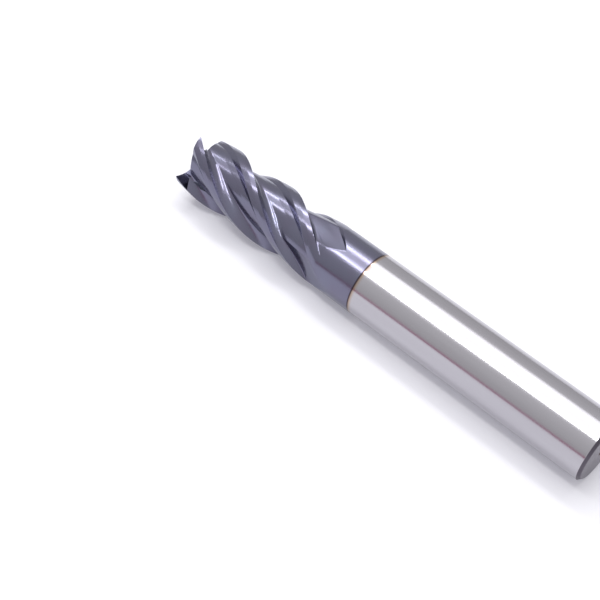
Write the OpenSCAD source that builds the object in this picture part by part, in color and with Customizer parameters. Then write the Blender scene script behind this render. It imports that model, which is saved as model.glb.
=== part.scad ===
// Square-nose end mill with four right-hand helical teeth, ground from one carbide rod.
// The tool lies along X on its side: cutting tip towards -X, shank end towards +X, lowest line at Z = 0.

/* [Overall size] */
// Diameter over the cutting edges
cut_d = 10; // [9:0.5:12]
// Diameter of the plain shank
shank_d = 10; // [8:0.5:12]
// Length from the cutting tip to the shank end
total_length = 75; // [60:1:100]
// Length of the coated end, measured from the tip
coated_length = 34.5; // [32:0.5:45]
// Width and depth of the 45 degree chamfer on the shank end
shank_chamfer = 0.5; // [0.2:0.1:0.8]
// Diameter of the grinding centre in the shank end
centre_mark_d = 1.3; // [0.8:0.1:2]
// Depth of the grinding centre
centre_mark_depth = 0.35; // [0.2:0.05:0.6]

/* [Flutes] */
// Angle between a cutting edge and the tool axis
helix_angle = 36; // [32:1:40]
// Diameter of the circle that the flute floors touch
web_d = 6.6; // [6:0.1:7]
// Rise of the flute floor from its lowest line to the foot of the heel wall
floor_rise = 0.6; // [0.3:0.1:0.7]
// Angle from a cutting edge forward to the lowest line of the flute floor
floor_angle = 24; // [20:1:30]
// Angle from a cutting edge forward to the foot of the heel wall
heel_angle = 62.5; // [60:0.5:65]
// Height of the heel wall
wall_height = 0.72; // [0.6:0.02:0.9]
// Positive rake of the cutting face
rake_angle = 10; // [4:1:14]
// Length from the tip to the place where the flutes have run out
flute_end = 31.2; // [30:0.2:31.6]
// Slope of the flat that the grinding wheel leaves at the end of each flute
facet_slope = 0.16; // [0.12:0.01:0.2]
// Angle from a cutting edge forward to the middle of that flat, at its end
facet_angle = 75.5; // [70:0.5:80]

/* [Lands] */
// Width of the narrow relieved land behind each cutting edge
land_w = 0.8; // [0.5:0.1:1.2]
// Relief angle of the narrow land
land_relief = 8; // [5:1:12]
// Relief angle of the wide land behind it
back_relief = 12; // [9:1:16]
// Length from the tip to the place where the land relief begins to run out
relief_length = 25; // [22:0.5:26]

/* [End teeth] */
// Hollow of the end face towards the middle, in degrees
dish_angle = 2; // [1:0.5:4]
// Relief angle behind each end cutting edge
end_relief = 8; // [5:1:12]
// Relief angle of the heel of each end tooth
end_back_relief = 22; // [16:1:30]
// Deepest part of the gash in front of each end tooth
gash_depth = 2.2; // [1.6:0.1:2.6]
// Slope of the gash floor out from the middle, and of its far side
gash_angle = 40; // [32:1:48]

/* [Hidden] */
$fn = 96;
teeth = 4;
pitch = 360 / teeth;
cut_r = cut_d / 2;
shank_r = shank_d / 2;
floor_r = web_d / 2;
web_r = floor_r - 0.2;
turn_per_mm = 360 * tan(helix_angle) / (PI * cut_d);
// turn of the first cutting edge from straight up, at the tip
start_turn = -1.5;
// angles behind and ahead of a cutting edge where the surface changes
land_turn = land_w / cut_r * 180 / PI;
seam_angle = 15;
wall_turn = 8;
hook_turn = 24;
// the run-out flat: half its widest angle, and the rounding where it meets the flute floor
facet_width = 27;
facet_blend = 0.15;
// turn of the heel wall towards the cutting face, per mm, where the flute runs out
heel_drift = 1.35;
hook = tan(rake_angle + 12);
end_land = 0.8;
end_block = 4;
inner_r = web_r / cos(pitch / 30);
// stations round one tooth, from the seam behind it to the seam ahead of it
back_steps = 5;
land_start = pitch - land_turn;
wall_top = heel_angle + wall_turn;
stations = concat(
    [for (i = [0 : 5]) seam_angle + (heel_angle - seam_angle) * i / 5],
    [wall_top],
    [for (i = [1 : back_steps]) wall_top + (land_start - wall_top) * i / back_steps],
    [pitch],
    [for (f = [0.03, 0.1, 0.2, 0.35, 0.55, 0.78, 1]) pitch + seam_angle * f]
);
layers = 56;

// how much of the land relief is left at distance d from the tip
function relief_left(d) = max(0, 1 - max(0, d - relief_length) / 2.5);

// depth of the relieved land at an angle b behind the cutting edge
function land_drop(b) =
    min(b, land_turn) * PI / 180 * cut_r * tan(land_relief)
    + max(0, b - land_turn) * PI / 180 * cut_r * tan(back_relief);

// angle from the cutting edge to the foot of the heel wall, at distance d from the tip
function heel_at(d) = heel_angle - heel_drift * max(0, d - relief_length);

// the stations follow the heel wall where it moves
function station_at(t, d) =
    let (
        before = (t - seam_angle) / (heel_angle - seam_angle),
        behind = (land_start - t) / (land_start - wall_top),
        near = min(before, behind)
    )
    t - (heel_angle - heel_at(d)) * max(0, min(1, near));

// radius of the run-out flat at angle t ahead of a cutting edge
function facet_at(t, d) =
    let (across = t - facet_angle - turn_per_mm * (d - flute_end))
    (cut_r - facet_slope * (flute_end - d)) / cos(max(-facet_width, min(facet_width, across)));

// radius of the flute floor and the cutting face, blended into the run-out flat
function floor_at(t, d) =
    let (
        rise = floor_rise * max(0, t - floor_angle) / (heel_angle - floor_angle),
        face = (cut_r - floor_r) * pow(max(0, 1 - t / hook_turn), 2),
        low = floor_r + rise + face,
        flat = facet_at(t, d)
    )
    (low + flat + sqrt(pow(flat - low, 2) + pow(facet_blend, 2))) / 2;
function flute_at(t, d) = floor_at(t, d) + max(0, t - heel_at(d)) * wall_height / wall_turn;
function land_at(t, d) = t < heel_at(d) ? cut_r : cut_r - land_drop(pitch - t) * relief_left(d);

// radius of the tool's surface at angle t ahead of a cutting edge
function surface_radius(t, d) = t >= pitch ? cut_r : min(land_at(t, d), flute_at(t, d));
function radius_at(t, d) = t > pitch ? surface_radius(t - pitch, d) : surface_radius(t, d);

// the section lines lean so that the cutting face has a positive rake
function lean(r, t) = -hook * (1 - max(r, floor_r) / cut_r) * 180 / PI * abs(1 - (t % pitch) / (pitch / 2));

// how far the end of the tool lies below the tip, at radius r and angle t ahead of a cutting edge
function gash_at(r) = min(gash_depth, max(0.2, (r - 0.4) * tan(gash_angle)));
function gash_drop(r, a) = gash_at(r) - a * PI / 180 * r * tan(gash_angle);
function end_drop(r, t) =
    let (
        behind = max(0, pitch - t) * PI / 180 * r,
        relief = min(behind, end_land) * tan(end_relief) + max(0, behind - end_land) * tan(end_back_relief),
        dish = (cut_r - r) * tan(dish_angle)
    )
    t > pitch ? max(dish, gash_drop(r, t - pitch)) : dish + max(relief, gash_drop(r, t) - dish);

// a point of the tool at distance d from the tip, with the tip on +Z
function point_at(r, t, d) =
    let (turn = t + start_turn + lean(r, t) - turn_per_mm * d)
    [r * cos(turn), r * sin(turn), total_length - d];

// lays the upright tool on its side, tip towards -X
module lay_down() {
    translate([total_length / 2, 0, max(cut_r, shank_r)])
        rotate([0, -90, 0])
            children();
}

// one tooth: its lands, its cutting face and its share of the flute floors, down to the web
module tooth(index) {
    n = len(stations);
    start = [for (t = stations) end_drop(radius_at(t, 0), t)];
    start_in = [for (t = stations) end_drop(web_r, t)];
    function ring(k) = concat(
        [for (i = [0 : n - 1])
            let (d = start[i] + (flute_end - start[i]) * k / layers, t = station_at(stations[i], d))
            point_at(radius_at(t, d), t, d)],
        [for (i = [n - 1 : -1 : 0])
            let (d = start_in[i] + (flute_end - start_in[i]) * k / layers)
            point_at(inner_r, stations[i], d)]
    );
    points = [for (k = [0 : layers]) each ring(k)];
    m = 2 * n;
    sides = [for (k = [0 : layers - 1]) for (i = [0 : m - 1])
        let (a = k * m + i, b = k * m + (i + 1) % m)
        each [[a, b, b + m], [a, b + m, a + m]]];
    tip = [for (i = [0 : n - 2]) each [[i, m - 1 - i, i + 1], [m - 1 - i, m - 2 - i, i + 1]]];
    foot = [for (f = tip) [f[0] + layers * m, f[2] + layers * m, f[1] + layers * m]];
    lay_down()
        rotate([0, 0, pitch * (index - 1)])
            polyhedron(points = points, faces = concat(sides, tip, foot));
}

// the middle of the end face, where the four end teeth and their gashes meet
module end_centre() {
    turns = [for (k = [0 : teeth - 1]) for (t = [0.5, 8, 18, 30, 42, 55, 68, 80, 90]) k * pitch + t];
    radii = [for (i = [1 : 5]) web_r * i / 5];
    m = len(turns);
    function local(t) = t - pitch * floor((t - 0.01) / pitch);
    function top(r) = [for (t = turns) point_at(r, t, end_drop(r, local(t)))];
    function bottom(r) = [for (t = turns) point_at(r, t, end_block)];
    points = concat(
        [[0, 0, total_length - end_drop(0.1, 45)], [0, 0, total_length - end_block]],
        [for (r = radii) each top(r)],
        bottom(web_r)
    );
    q = len(radii);
    function at(j, i) = 2 + j * m + i % m;
    faces = concat(
        [for (i = [0 : m - 1]) [0, at(0, i + 1), at(0, i)]],
        [for (j = [0 : q - 2]) for (i = [0 : m - 1])
            each [[at(j, i), at(j, i + 1), at(j + 1, i + 1)], [at(j, i), at(j + 1, i + 1), at(j + 1, i)]]],
        [for (i = [0 : m - 1])
            each [[at(q - 1, i), at(q - 1, i + 1), at(q, i + 1)], [at(q - 1, i), at(q, i + 1), at(q, i)]]],
        [for (i = [0 : m - 1]) [1, at(q, i), at(q, i + 1)]]
    );
    color("#5a5d6c")
        lay_down()
            polyhedron(points = points, faces = faces);
}

// round middle of the fluted length, which carries the teeth
module web() {
    color("#4d505e")
        lay_down()
            translate([0, 0, total_length - flute_end])
                cylinder(r = web_r, h = flute_end - end_block);
}

// coated round length between the flutes and the bare shank
module neck() {
    color("#6d7082")
        lay_down()
            translate([0, 0, total_length - coated_length])
                cylinder(r = cut_r, h = coated_length - flute_end);
}

// bare ground shank with a chamfered end and a small grinding centre
module shank() {
    color("#c4c4ca")
        lay_down()
            difference() {
                rotate_extrude()
                    polygon([
                        [0, 0],
                        [shank_r - shank_chamfer, 0],
                        [shank_r, shank_chamfer],
                        [shank_r, total_length - coated_length],
                        [0, total_length - coated_length]
                    ]);
                translate([0, 0, -0.01])
                    cylinder(r1 = centre_mark_d / 2, r2 = centre_mark_d / 6, h = centre_mark_depth + 0.01);
            }
}

module tooth_1() { color("#73768a") tooth(1); }
module tooth_2() { color("#696c80") tooth(2); }
module tooth_3() { color("#73768a") tooth(3); }
module tooth_4() { color("#696c80") tooth(4); }

shank();
neck();
web();
end_centre();
tooth_1();
tooth_2();
tooth_3();
tooth_4();
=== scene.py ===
import math
import bpy
import numpy as np
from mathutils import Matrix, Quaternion, Vector


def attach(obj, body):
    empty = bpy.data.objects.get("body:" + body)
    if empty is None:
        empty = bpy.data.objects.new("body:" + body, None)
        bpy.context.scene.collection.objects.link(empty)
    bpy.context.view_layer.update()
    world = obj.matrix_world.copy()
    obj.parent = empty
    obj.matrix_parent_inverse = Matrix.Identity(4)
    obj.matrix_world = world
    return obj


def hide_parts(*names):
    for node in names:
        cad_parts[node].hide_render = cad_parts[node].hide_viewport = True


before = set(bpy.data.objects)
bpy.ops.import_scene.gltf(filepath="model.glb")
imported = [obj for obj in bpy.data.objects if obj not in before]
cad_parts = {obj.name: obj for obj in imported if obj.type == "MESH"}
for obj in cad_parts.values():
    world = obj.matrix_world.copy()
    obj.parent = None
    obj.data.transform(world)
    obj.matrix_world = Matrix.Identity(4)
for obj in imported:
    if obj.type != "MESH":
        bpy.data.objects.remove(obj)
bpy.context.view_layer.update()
mm = 0.001  # the numbers below are millimetres, the scene is in metres
print("frame loaded:", len(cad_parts), "nodes")

# camera, standing in front of the shank end and looking down at the tool
cameraSet = {
    "lens": 82.8,
    "azimuth": 33.63,
    "elevation": 46.53,
    "roll": 10.97,
    "aim": (-8.78, -8.38, 3.0),
    "distance": 197.7,
    "clip": (0.01, 20.0),
}


def makeCamera(settings):
    data = bpy.data.cameras.new("camera")
    data.lens = settings["lens"]
    data.clip_start, data.clip_end = settings["clip"]
    camera = bpy.data.objects.new("camera", data)
    bpy.context.scene.collection.objects.link(camera)
    around = math.radians(settings["azimuth"])
    up = math.radians(settings["elevation"])
    back = Vector((math.sin(around) * math.cos(up), -math.cos(around) * math.cos(up), math.sin(up)))
    camera.location = (Vector(settings["aim"]) + back * settings["distance"]) * mm
    roll = Quaternion((0, 0, 1), math.radians(settings["roll"]))
    camera.rotation_mode = "QUATERNION"
    camera.rotation_quaternion = (-back).to_track_quat("-Z", "Y") @ roll
    bpy.context.scene.camera = camera


makeCamera(cameraSet)
print("camera set")

# sizes in millimetres and degrees: lengths from the tip, section angles ahead of a cutting edge
tool = {
    "teeth": 4,
    "cutRadius": 5.0,
    "shankRadius": 5.0,
    "length": 75.0,
    "coatedLength": 34.5,
    "helixAngle": 36.0,
    "startTurn": -1.5,  # first cutting edge from straight up, at the tip
    "floorRadius": 3.3,
    "floorRise": 0.6,  # from floorAngle to heelAngle
    "floorAngle": 24.0,
    "heelAngle": 62.5,
    "wallTurn": 8.0,  # the heel wall's own width
    "wallHeight": 0.72,
    "hookTurn": 24.0,  # where the cutting face has run into the floor
    "faceLean": 22.0,  # leans the hollow face back; it still has about 13 degrees of negative rake
    "webRadius": 3.1,
    "fluteEnd": 31.2,
    "facetSlope": 0.16,  # mm of depth for each mm of length
    "facetAngle": 75.5,
    "facetWidth": 27.0,
    "facetBlend": 0.15,
    "heelDrift": 1.35,  # degrees for each mm past reliefLength
    "landWidth": 0.8,
    "landRelief": 8.0,
    "backRelief": 12.0,
    "reliefLength": 25.0,
    "reliefFade": 2.5,
    "dishAngle": 2.0,
    "endRelief": 8.0,
    "endBackRelief": 22.0,
    "gashDepth": 2.2,
    "gashLeast": 0.2,
    "gashStart": 0.4,  # radius where the gash begins
    "gashAngle": 40.0,
    "endLand": 0.8,
    "endBlock": 4.0,  # length of the middle of the end
    "seamAngle": 15.0,  # where one tooth meets the next
    "chamfer": 0.5,
    "markRadius": 0.65,  # grinding centre in the shank end
    "markDepth": 0.35,
}
pitch = 360 / tool["teeth"]
degree = math.pi / 180


def tanD(angle):
    return np.tan(np.asarray(angle) * degree)


def cosD(angle):
    return np.cos(np.asarray(angle) * degree)


turnPerMm = 180 * tanD(tool["helixAngle"]) / (math.pi * tool["cutRadius"])
fluteEnd = tool["fluteEnd"]
landTurn = tool["landWidth"] / tool["cutRadius"] / degree
hook = float(tanD(tool["faceLean"]))


def landDrop(behind):  # depth of the lands at an angle behind the cutting edge
    first = np.minimum(behind, landTurn) * degree * tool["cutRadius"] * tanD(tool["landRelief"])
    second = np.maximum(0, behind - landTurn) * degree * tool["cutRadius"] * tanD(tool["backRelief"])
    return first + second


def heelAt(d):  # the heel wall moves towards the cutting face where the flute runs out
    return tool["heelAngle"] - tool["heelDrift"] * np.maximum(0, d - tool["reliefLength"])


def facetRadiusAt(t, d):  # flat that the grinding wheel leaves where it comes out of the rod
    across = t - tool["facetAngle"] - turnPerMm * (d - fluteEnd)
    across = np.clip(across, -tool["facetWidth"], tool["facetWidth"])
    return (tool["cutRadius"] - tool["facetSlope"] * (fluteEnd - d)) / cosD(across)


def fluteRadius(t, d):  # cutting face, floor, run-out flat and heel wall
    climb = tool["heelAngle"] - tool["floorAngle"]
    rise = tool["floorRise"] * np.maximum(0, t - tool["floorAngle"]) / climb
    depth = tool["cutRadius"] - tool["floorRadius"]
    face = depth * np.maximum(0, 1 - t / tool["hookTurn"]) ** 2
    floor = tool["floorRadius"] + rise + face
    facet = facetRadiusAt(t, d)
    floor = (floor + facet + np.hypot(facet - floor, tool["facetBlend"])) / 2
    return floor + np.maximum(0, t - heelAt(d)) * tool["wallHeight"] / tool["wallTurn"]


def surfaceRadius(t, d):  # radius at angle t ahead of a cutting edge, distance d from the tip
    t, d = np.broadcast_arrays(np.asarray(t, float), np.asarray(d, float))
    ahead = np.where(t > pitch, t - pitch, t)
    reliefLeft = np.maximum(0, 1 - np.maximum(0, d - tool["reliefLength"]) / tool["reliefFade"])
    reliefLeft = np.where(ahead < heelAt(d), 0, reliefLeft)
    land = tool["cutRadius"] - landDrop(pitch - ahead) * reliefLeft
    radius = np.minimum(land, fluteRadius(ahead, d))
    return np.where(t == pitch, tool["cutRadius"], radius)


def lean(r, t):  # turns the section lines back below the cutting edge, which steepens the face
    full = -hook * (1 - np.maximum(r, tool["floorRadius"]) / tool["cutRadius"]) / degree
    return full * np.abs(1 - (t % pitch) / (pitch / 2))


def endDrop(r, t):  # how far the end face lies below the tip
    slope = tanD(tool["gashAngle"])
    behind = np.maximum(0, pitch - t) * degree * r
    relief = np.minimum(behind, tool["endLand"]) * tanD(tool["endRelief"])
    relief = relief + np.maximum(0, behind - tool["endLand"]) * tanD(tool["endBackRelief"])
    dish = (tool["cutRadius"] - r) * tanD(tool["dishAngle"])
    deepest = np.maximum(tool["gashLeast"], (r - tool["gashStart"]) * slope)
    deepest = np.minimum(tool["gashDepth"], deepest)
    gashHere = deepest - t * degree * r * slope
    gashNext = deepest - (t - pitch) * degree * r * slope
    return np.where(t > pitch, np.maximum(dish, gashNext), dish + np.maximum(relief, gashHere - dish))


def toFrame(x, y, d):  # from the upright tool to metres in the frame, tip towards -X
    return np.stack([d - tool["length"] / 2, y, x + tool["cutRadius"]], -1) * mm


def onTool(r, t, d):
    turn = (t + tool["startTurn"] + lean(r, t) - turnPerMm * d) * degree
    return toFrame(r * np.cos(turn), r * np.sin(turn), d)


# grinding lines: real ones are about 0.01 mm apart, these are coarsened to 0.15 mm
grindSet = {"lineGap": 0.15, "lineLength": 5.0, "sharpAngle": 26}


def grindPlace(points, turn):  # place in the pattern of grinding lines, along the helix or round the axis
    d = points[:, 0] / mm + tool["length"] / 2
    angle = np.arctan2(points[:, 1], points[:, 2] - tool["cutRadius"] * mm)
    if turn == 0:
        return np.stack([d / grindSet["lineGap"], np.cos(angle), np.sin(angle)], -1)
    angle = angle + turn * degree * d
    around = tool["cutRadius"] / grindSet["lineGap"]
    return np.stack([np.cos(angle) * around, np.sin(angle) * around, d / grindSet["lineLength"]], -1)


def newPiece(name, points, faces, material, replaced, turn=0.0):
    mesh = bpy.data.meshes.new(name)
    mesh.from_pydata([tuple(p) for p in points], [], [tuple(int(i) for i in f) for f in faces])
    mesh.validate()
    mesh.update()
    for polygon in mesh.polygons:
        polygon.use_smooth = True
    mesh.set_sharp_from_angle(angle=math.radians(grindSet["sharpAngle"]))
    grind = mesh.attributes.new("grind", "FLOAT_VECTOR", "POINT")
    grind.data.foreach_set("vector", grindPlace(np.array([v.co for v in mesh.vertices]), turn).ravel())
    mesh.materials.append(material)
    piece = bpy.data.objects.new(name, mesh)
    bpy.context.scene.collection.objects.link(piece)
    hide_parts(replaced)
    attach(piece, "root")


def gridFaces(grid, closed=False):
    nextColumn = np.roll(grid, -1, axis=1)
    quads = np.stack([grid[:-1], nextColumn[:-1], nextColumn[1:], grid[1:]], -1)
    if not closed:
        quads = quads[:, :-1]
    return quads.reshape(-1, 4)


# materials
def linear(hexValue):  # sRGB hex to linear RGBA
    parts = [int(hexValue[i:i + 2], 16) / 255 for i in (1, 3, 5)]
    return tuple(p / 12.92 if p <= 0.04045 else ((p + 0.055) / 1.055) ** 2.4 for p in parts) + (1.0,)


def addNode(tree, kind, links=(), **settings):
    node = tree.nodes.new(kind)
    for name, value in settings.items():
        if name.startswith("in_"):
            key = name[3:]
            socket = node.inputs[int(key)] if key.isdigit() else node.inputs[key.replace("_", " ")]
            socket.default_value = value
        else:
            setattr(node, name, value)
    for source, target in links:
        tree.links.new(source, node.inputs[target])
    return node


def newMaterial(name):
    material = bpy.data.materials.new(name)
    material.use_nodes = True
    tree = material.node_tree
    tree.nodes.clear()
    return material, tree


# nitride coating, grown from vapour on ground carbide: a satin blue-grey metal that drifts to
# purple in patches, with sharp lilac highlights in the flutes; the lighter tone at a low angle is painted
# sheen
coatLook = {
    "cool": "#777a8c",
    "purple": "#736e82",
    # rim: painted sheen, the lighter colour mixed in where the coating is seen at a low angle
    "rim": "#8f96a0",
    "edge": "#3a3136",
    "roughLow": 0.17,
    "roughHigh": 0.22,
    "patch": 2.86,  # mm, as are the grain and the lines
    "grain": 0.16,
    "grainRange": (0.35, 0.65),
    "grainDepth": 0.016,
    "fluteGrain": 0.12,
    "neckGrain": 0.7,
    "grainFade": (5.0, 3.0),  # mm ahead of the coating's edge
    "lineDepth": 0.01,
    "lineStrength": 0.1,
    "edgeLine": (0.22, 0.1),
    "sheenPower": 2.5,
}


def coatedCarbide():
    material, tree = newMaterial("coatedCarbide")
    place = addNode(tree, "ShaderNodeTexCoord").outputs["Object"]
    tint = addNode(tree, "ShaderNodeTexNoise", [(place, "Vector")],
                   in_Scale=1 / (coatLook["patch"] * mm), in_Detail=2.0)
    # real grain is under 0.01 mm, here it is 0.16 mm, and even so it only softens the highlights
    speckle = addNode(tree, "ShaderNodeTexNoise", [(place, "Vector")],
                      in_Scale=1 / (coatLook["grain"] * mm), in_Detail=3.0, in_Roughness=0.65)
    body = addNode(tree, "ShaderNodeMix", [(tint.outputs["Fac"], 0)], data_type="RGBA",
                   in_6=linear(coatLook["cool"]), in_7=linear(coatLook["purple"]))
    # painted sheen: the colour turns lighter where the surface is seen at a low angle
    facing = addNode(tree, "ShaderNodeLayerWeight", in_Blend=0.25)
    low = addNode(tree, "ShaderNodeMath", [(facing.outputs["Facing"], 0)],
                  operation="POWER", in_1=coatLook["sheenPower"])
    sheened = addNode(tree, "ShaderNodeMix", [(low.outputs["Value"], 0), (body.outputs[2], 6)],
                     data_type="RGBA", in_7=linear(coatLook["rim"]))
    # the coating ends in a thin dark line
    along = addNode(tree, "ShaderNodeSeparateXYZ", [(place, "Vector")])
    ending = addNode(tree, "ShaderNodeMapRange", [(along.outputs["X"], "Value")],
                     in_From_Min=(edgeX - coatLook["edgeLine"][0]) * mm,
                     in_From_Max=(edgeX - coatLook["edgeLine"][1]) * mm)
    colour = addNode(tree, "ShaderNodeMix", [(ending.outputs["Result"], 0), (sheened.outputs[2], 6)],
                     data_type="RGBA", in_7=linear(coatLook["edge"]))
    rough = addNode(tree, "ShaderNodeMapRange", [(speckle.outputs["Fac"], "Value")],
                    in_From_Min=coatLook["grainRange"][0], in_From_Max=coatLook["grainRange"][1],
                    in_To_Min=coatLook["roughLow"], in_To_Max=coatLook["roughHigh"])
    # the lines of the grinding wheel show through, drawn out along the flutes
    grind = addNode(tree, "ShaderNodeAttribute", attribute_name="grind")
    lines = addNode(tree, "ShaderNodeTexNoise", [(grind.outputs["Vector"], "Vector")],
                    in_Scale=1.0, in_Detail=2.0)
    # the flutes are ground smooth before they are coated, and the neck is coarser
    onNeck = addNode(tree, "ShaderNodeMapRange", [(along.outputs["X"], "Value")],
                     in_From_Min=(edgeX - coatLook["grainFade"][0]) * mm,
                     in_From_Max=(edgeX - coatLook["grainFade"][1]) * mm,
                     in_To_Min=coatLook["fluteGrain"], in_To_Max=coatLook["neckGrain"])
    grain = addNode(tree, "ShaderNodeBump",
                    [(speckle.outputs["Fac"], "Height"), (onNeck.outputs["Result"], "Strength")],
                    in_Distance=coatLook["grainDepth"] * mm)
    ground = addNode(tree, "ShaderNodeBump",
                     [(lines.outputs["Fac"], "Height"), (grain.outputs["Normal"], "Normal")],
                     in_Strength=coatLook["lineStrength"], in_Distance=coatLook["lineDepth"] * mm)
    shader = addNode(tree, "ShaderNodeBsdfPrincipled",
                     [(ground.outputs["Normal"], "Normal"), (rough.outputs["Result"], "Roughness"),
                      (colour.outputs[2], "Base Color")], in_Metallic=1.0)
    addNode(tree, "ShaderNodeOutputMaterial", [(shader.outputs["BSDF"], "Surface")])
    return material


# bare tungsten carbide, centreless ground: bright and even, with fine lines round the shank and
# faint long streaks; the coating has left a straw and brown border on it
bareLook = {
    "light": "#bcbbc0",
    "dull": "#b0adb3",
    "straw": "#a5824f",
    "brown": "#5b3f3a",
    # chamfer: painted shade on the bevel, and also the darker tone in the end face's blotches
    "chamfer": "#5f5a63",
    "end": "#97949b",
    "mark": "#4a3331",
    "roughLow": 0.11,
    "roughHigh": 0.2,
    "lineGap": 0.12,
    "lineLength": 8.33,
    "lineDepth": 0.002,
    "lineStrength": 0.05,
    "streakLength": 33.3,
    "streakWidth": 1.11,
    "blotch": 0.4,
    "border": 0.6,
    "borderFade": 0.6,
    "strawAt": 0.35,
    "markEdge": (0.6, 0.72),
    "endRough": 0.28,
    "chamferFade": 0.04,
    "endFade": (0.1, 0.04),
    "streakRange": (0.3, 0.7),
}


def groundCarbide():
    material, tree = newMaterial("groundCarbide")
    place = addNode(tree, "ShaderNodeTexCoord").outputs["Object"]
    # real grinding lines are about 0.01 mm apart, here they are 0.12 mm apart so that they can be seen
    around = 1 / (bareLook["lineLength"] * mm)
    ringScale = addNode(tree, "ShaderNodeMapping", [(place, "Vector")],
                        in_Scale=(1 / (bareLook["lineGap"] * mm), around, around))
    rings = addNode(tree, "ShaderNodeTexNoise", [(ringScale.outputs["Vector"], "Vector")],
                    in_Scale=1.0, in_Detail=2.0)
    streakAcross = 1 / (bareLook["streakWidth"] * mm)
    streakScale = addNode(tree, "ShaderNodeMapping", [(place, "Vector")],
                          in_Scale=(1 / (bareLook["streakLength"] * mm), streakAcross, streakAcross))
    streaks = addNode(tree, "ShaderNodeTexNoise", [(streakScale.outputs["Vector"], "Vector")],
                      in_Scale=1.0, in_Detail=3.0)
    body = addNode(tree, "ShaderNodeMix", [(streaks.outputs["Fac"], 0)], data_type="RGBA",
                   in_6=linear(bareLook["light"]), in_7=linear(bareLook["dull"]))
    along = addNode(tree, "ShaderNodeSeparateXYZ", [(place, "Vector")])
    border = addNode(tree, "ShaderNodeMapRange", [(along.outputs["X"], "Value")],
                     in_From_Min=edgeX * mm, in_From_Max=(edgeX + bareLook["border"]) * mm)
    ramp = addNode(tree, "ShaderNodeValToRGB", [(border.outputs["Result"], "Fac")])
    ramp.color_ramp.elements[0].position = 0.0
    ramp.color_ramp.elements[0].color = linear(bareLook["brown"])
    ramp.color_ramp.elements[1].position = bareLook["strawAt"]
    ramp.color_ramp.elements[1].color = linear(bareLook["straw"])
    fade = addNode(tree, "ShaderNodeMath", [(border.outputs["Result"], 0)],
                   operation="POWER", in_1=bareLook["borderFade"])
    side = addNode(tree, "ShaderNodeMix", [(fade.outputs["Value"], 0), (ramp.outputs["Color"], 6),
                   (body.outputs[2], 7)], data_type="RGBA")
    # the chamfer and the end face are duller, with a dark spot in the grinding centre; the chamfer's dark
    # colour is painted shade, the dark line the bevel shows under these lights
    endX = tool["length"] / 2
    chamferX = endX - tool["chamfer"]
    chamfer = addNode(tree, "ShaderNodeMapRange", [(along.outputs["X"], "Value")],
                      in_From_Min=chamferX * mm, in_From_Max=(chamferX + bareLook["chamferFade"]) * mm)
    # painted shade: the chamfer is coloured dark
    chamferShaded = addNode(tree, "ShaderNodeMix", [(chamfer.outputs["Result"], 0), (side.outputs[2], 6)],
                        data_type="RGBA", in_7=linear(bareLook["chamfer"]))
    blotch = addNode(tree, "ShaderNodeTexNoise", [(place, "Vector")],
                     in_Scale=1 / (bareLook["blotch"] * mm), in_Detail=4.0)
    endTone = addNode(tree, "ShaderNodeMix", [(blotch.outputs["Fac"], 0)], data_type="RGBA",
                      in_6=linear(bareLook["end"]), in_7=linear(bareLook["chamfer"]))
    spot = addNode(tree, "ShaderNodeVectorMath", [(place, 0)], operation="DISTANCE",
                   in_1=(endX * mm, 0.0, tool["shankRadius"] * mm))
    inSpot = addNode(tree, "ShaderNodeMapRange", [(spot.outputs["Value"], "Value")],
                     in_From_Min=bareLook["markEdge"][0] * mm, in_From_Max=bareLook["markEdge"][1] * mm,
                     in_To_Min=1.0, in_To_Max=0.0)
    endColour = addNode(tree, "ShaderNodeMix", [(inSpot.outputs["Result"], 0), (endTone.outputs[2], 6)],
                        data_type="RGBA", in_7=linear(bareLook["mark"]))
    onEnd = addNode(tree, "ShaderNodeMapRange", [(along.outputs["X"], "Value")],
                    in_From_Min=(endX - bareLook["endFade"][0]) * mm,
                    in_From_Max=(endX - bareLook["endFade"][1]) * mm)
    inHole = addNode(tree, "ShaderNodeMath", [(onEnd.outputs["Result"], 0), (inSpot.outputs["Result"], 1)],
                     operation="MAXIMUM")
    colour = addNode(tree, "ShaderNodeMix", [(inHole.outputs["Value"], 0), (chamferShaded.outputs[2], 6),
                     (endColour.outputs[2], 7)], data_type="RGBA")
    sideRough = addNode(tree, "ShaderNodeMapRange", [(streaks.outputs["Fac"], "Value")],
                        in_From_Min=bareLook["streakRange"][0], in_From_Max=bareLook["streakRange"][1],
                        in_To_Min=bareLook["roughLow"], in_To_Max=bareLook["roughHigh"])
    endRough = addNode(tree, "ShaderNodeMath", [(chamfer.outputs["Result"], 0)],
                       operation="MULTIPLY", in_1=bareLook["endRough"])
    rough = addNode(tree, "ShaderNodeMath",
                    [(sideRough.outputs["Result"], 0), (endRough.outputs["Value"], 1)], operation="ADD")
    bump = addNode(tree, "ShaderNodeBump", [(rings.outputs["Fac"], "Height")],
                   in_Strength=bareLook["lineStrength"], in_Distance=bareLook["lineDepth"] * mm)
    shader = addNode(tree, "ShaderNodeBsdfPrincipled",
                     [(bump.outputs["Normal"], "Normal"), (rough.outputs["Value"], "Roughness"),
                      (colour.outputs[2], "Base Color")], in_Metallic=1.0)
    addNode(tree, "ShaderNodeOutputMaterial", [(shader.outputs["BSDF"], "Surface")])
    return material


edgeX = tool["coatedLength"] - tool["length"] / 2  # where the coating ends, along X
coated = coatedCarbide()
bare = groundCarbide()
print("materials made")


# teeth: each from the heel seam to the next one, with its lands, its cutting face and half a flute
toothSet = {
    "layers": 300,
    "endSteps": 14,
    "floorSteps": 40,
    "wallSteps": 15,
    "backSteps": 16,
    "landSteps": 8,
    "faceSteps": 26,
    "faceCrowding": 1.6,  # puts more of the face's lines near the cutting edge
    "startPasses": 4,
}


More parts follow.
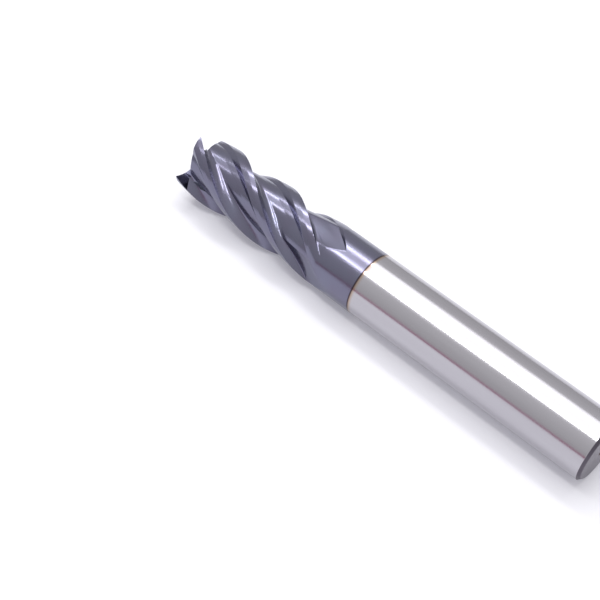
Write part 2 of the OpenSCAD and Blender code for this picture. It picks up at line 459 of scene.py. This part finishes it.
def toothStations():
    heelTop = tool["heelAngle"] + tool["wallTurn"]
    landStart = pitch - landTurn
    return np.concatenate([
        np.linspace(tool["seamAngle"], tool["heelAngle"], toothSet["floorSteps"]),
        np.linspace(tool["heelAngle"], heelTop, toothSet["wallSteps"])[1:],
        np.linspace(heelTop, landStart, toothSet["backSteps"])[1:],
        np.linspace(landStart, pitch, toothSet["landSteps"])[1:],
        pitch + tool["seamAngle"] * np.linspace(0, 1, toothSet["faceSteps"])[1:] ** toothSet["faceCrowding"],
    ])


def stationAt(t, d):  # the stations follow the heel wall where it moves
    near = np.minimum((t - tool["seamAngle"]) / (tool["heelAngle"] - tool["seamAngle"]),
                      (pitch - landTurn - t) / (pitch - landTurn - tool["heelAngle"] - tool["wallTurn"]))
    return t - (tool["heelAngle"] - heelAt(d)) * np.clip(near, 0, 1)


def makeTooth(index):
    node = "tooth_" + str(index + 1)
    t = toothStations()
    count = len(t)
    layers = toothSet["layers"]
    start = 0.0  # the end face and the radius depend on each other, so a few passes settle them
    for step in range(toothSet["startPasses"]):
        start = endDrop(surfaceRadius(t, start), t)
    share = np.linspace(0, 1, layers + 1)[:, None]
    d = start[None, :] + (fluteEnd - start[None, :]) * share
    tHere = stationAt(t[None, :], d)
    outer = onTool(surfaceRadius(tHere, d), tHere, d)
    # end face, from the web outwards, without its last row, which is the first row of the outside
    rim = surfaceRadius(t, start)
    inward = np.linspace(0, 1, toothSet["endSteps"] + 1)[:-1, None]
    r = tool["webRadius"] + (rim[None, :] - tool["webRadius"]) * inward
    end = onTool(r, t[None, :] + 0 * r, endDrop(r, t[None, :]))
    back = onTool(np.full(count, tool["webRadius"]), t, np.full(count, fluteEnd))
    points = np.concatenate([end.reshape(-1, 3), outer.reshape(-1, 3), back])
    rows = toothSet["endSteps"] + layers + 2
    grid = np.arange(rows * count).reshape(rows, count)
    faces = list(gridFaces(grid))
    loop = np.stack([grid[-1, :-1], grid[-1, 1:], grid[0, 1:], grid[0, :-1]], -1)
    faces += list(loop)
    faces.append(list(grid[:, 0])[::-1])
    faces.append(list(grid[:, -1]))
    turn = index * pitch * degree
    centre = tool["cutRadius"] * mm
    y, z = points[:, 1].copy(), points[:, 2] - centre
    points[:, 2] = centre + z * math.cos(turn) - y * math.sin(turn)
    points[:, 1] = z * math.sin(turn) + y * math.cos(turn)
    newPiece("my_" + node, points, faces, coated, node, turnPerMm)


for index in range(tool["teeth"]):
    makeTooth(index)
print("teeth made")


# the rest of the coated end, and the bare shank, turned round the axis
def lathe(name, outline, steps, material, replaced):
    angles = np.linspace(0, 2 * math.pi, steps, endpoint=False)
    d = np.array([p[0] for p in outline])[:, None]
    r = np.array([p[1] for p in outline])[:, None]
    points = toFrame(r * np.cos(angles), r * np.sin(angles), d + 0 * angles).reshape(-1, 3)
    grid = np.arange(len(outline) * steps).reshape(len(outline), steps)
    faces = list(gridFaces(grid, closed=True))
    faces.append(list(grid[0])[::-1])
    faces.append(list(grid[-1]))
    newPiece(name, points, faces, material, replaced)


# first: radius of the innermost ring as a share of the web, shift: keeps points off the cutting edges
endSet = {"steps": 20, "turns": 240, "first": 0.03, "shift": 0.25}
restSet = {"webTurns": 64, "neckTurns": 256, "neckRings": 12}


def makeEndCentre():
    turns = np.arange(endSet["turns"]) * 360 / endSet["turns"] + endSet["shift"]
    local = turns % pitch
    r = tool["webRadius"] * np.linspace(endSet["first"], 1, endSet["steps"])[:, None]
    top = onTool(r, turns[None, :], endDrop(r, local[None, :]))
    bottom = onTool(np.full(len(turns), tool["webRadius"]), turns, np.full(len(turns), tool["endBlock"]))
    points = np.concatenate([top.reshape(-1, 3), bottom])
    grid = np.arange(len(points)).reshape(-1, endSet["turns"])
    faces = [list(f)[::-1] for f in gridFaces(grid, closed=True)]
    faces.append(list(grid[0]))
    faces.append(list(grid[-1])[::-1])
    newPiece("my_end_centre", points, faces, coated, "end_centre")


makeEndCentre()
webLine = [(fluteEnd, tool["webRadius"]), (tool["endBlock"], tool["webRadius"])]
lathe("my_web", webLine, restSet["webTurns"], coated, "web")
neckRings = np.linspace(tool["coatedLength"], fluteEnd, restSet["neckRings"])
neckLine = [(d, tool["cutRadius"]) for d in neckRings]
lathe("my_neck", neckLine, restSet["neckTurns"], coated, "neck")
print("neck, web and middle of the end made")

# markTip: radius of the grinding centre's floor as a share of its rim
shankSet = {"markTip": 1 / 3, "endRings": 12, "sideRings": 60, "turns": 256}


def makeShank():
    length, radius = tool["length"], tool["shankRadius"]
    chamfer, mark = tool["chamfer"], tool["markRadius"]
    rings = np.linspace(length - chamfer, tool["coatedLength"], shankSet["sideRings"])
    outline = [(length - tool["markDepth"], mark * shankSet["markTip"]), (length, mark)]
    outline += [(length, r) for r in np.linspace(mark, radius - chamfer, shankSet["endRings"])[1:]]
    outline += [(length - chamfer, radius)]
    outline += [(d, radius) for d in rings[1:]]
    lathe("my_shank", outline, shankSet["turns"], bare, "shank")


makeShank()
print("shank made")

# floor, softboxes and the soft light all round, in metres and watts
studio = {
    "floorHalf": 3.0,
    "floorColour": "#cdcdd0",
    "floorRough": 0.6,
    "floorGlow": 0.22,
    "glowColour": "#f3f1ff",
    "room": "#fefdff",
    "frontTint": "#e8a0c0",
    "roomLow": 0.58,
    "roomHigh": 0.82,
    "roomTop": 0.9,
    "tintHeight": (0.06, 0.14),
    "tintFront": (-0.92, -0.82),
    "height": 0.56,
    "shift": -0.2,
    "barPower": 1.3,
    "barSize": (0.6, 0.085),
    "barOffset": 0.185,
    "fillPower": 0.3,
    "fillSize": (0.6, 0.14),
    "fillOffset": 0.3,
    "diffuserPower": 0.65,
    "diffuserSize": (0.6, 0.26),
    "diffuserRise": 0.01,
}


def makeFloor():
    mesh = bpy.data.meshes.new("floor")
    half = studio["floorHalf"]
    corners = [(-half, -half, 0), (half, -half, 0), (half, half, 0), (-half, half, 0)]
    mesh.from_pydata(corners, [], [(0, 1, 2, 3)])
    floor = bpy.data.objects.new("floor", mesh)
    bpy.context.scene.collection.objects.link(floor)
    material, tree = newMaterial("paleFloor")
    shader = addNode(tree, "ShaderNodeBsdfPrincipled", in_Base_Color=linear(studio["floorColour"]),
                     in_Roughness=studio["floorRough"], in_Emission_Color=linear(studio["glowColour"]),
                     in_Emission_Strength=studio["floorGlow"])
    addNode(tree, "ShaderNodeOutputMaterial", [(shader.outputs["BSDF"], "Surface")])
    mesh.materials.append(material)


def makeSoftbox(name, offset, size, power, rise=0.0):  # hung over the tool's line, turned towards it
    place = Vector((studio["shift"], offset, studio["height"] + rise))
    aim = Vector((studio["shift"], 0.0, 0.0))
    data = bpy.data.lights.new(name, "AREA")
    data.shape = "RECTANGLE"
    data.size = size[0]
    data.size_y = size[1]
    data.energy = power
    light = bpy.data.objects.new(name, data)
    bpy.context.scene.collection.objects.link(light)
    light.location = place
    light.rotation_mode = "QUATERNION"
    light.rotation_quaternion = (aim - place).to_track_quat("-Z", "Y")


def makeWorld():
    world = bpy.data.worlds.new("room")
    bpy.context.scene.world = world
    world.use_nodes = True
    tree = world.node_tree
    tree.nodes.clear()
    coords = addNode(tree, "ShaderNodeTexCoord")
    parts = addNode(tree, "ShaderNodeSeparateXYZ", [(coords.outputs["Generated"], "Vector")])
    level = addNode(tree, "ShaderNodeMapRange", [(parts.outputs["Z"], "Value")],
                    in_From_Min=0.0, in_From_Max=studio["roomTop"],
                    in_To_Min=studio["roomLow"], in_To_Max=studio["roomHigh"])
    # a faint reddish tint low down in front, which shows as a thin streak along the shank
    low = addNode(tree, "ShaderNodeMapRange", [(parts.outputs["Z"], "Value")],
                  in_From_Min=studio["tintHeight"][0], in_From_Max=studio["tintHeight"][1],
                  in_To_Min=1.0, in_To_Max=0.0)
    front = addNode(tree, "ShaderNodeMapRange", [(parts.outputs["Y"], "Value")],
                    in_From_Min=studio["tintFront"][0], in_From_Max=studio["tintFront"][1],
                    in_To_Min=1.0, in_To_Max=0.0)
    both = addNode(tree, "ShaderNodeMath", [(low.outputs["Result"], 0), (front.outputs["Result"], 1)],
                   operation="MULTIPLY")
    colour = addNode(tree, "ShaderNodeMix", [(both.outputs["Value"], 0)], data_type="RGBA",
                     in_6=linear(studio["room"]), in_7=linear(studio["frontTint"]))
    light = addNode(tree, "ShaderNodeBackground",
                    [(level.outputs["Result"], "Strength"), (colour.outputs[2], "Color")])
    addNode(tree, "ShaderNodeOutputWorld", [(light.outputs["Background"], "Surface")])


makeFloor()
makeSoftbox("frontBar", -studio["barOffset"], studio["barSize"], studio["barPower"])
makeSoftbox("backBar", studio["barOffset"], studio["barSize"], studio["barPower"])
makeSoftbox("backFill", studio["fillOffset"], studio["fillSize"], studio["fillPower"])
makeSoftbox("diffuser", 0.0, studio["diffuserSize"], studio["diffuserPower"], studio["diffuserRise"])
makeWorld()
bpy.context.scene.view_settings.view_transform = "Standard"
print("studio made")
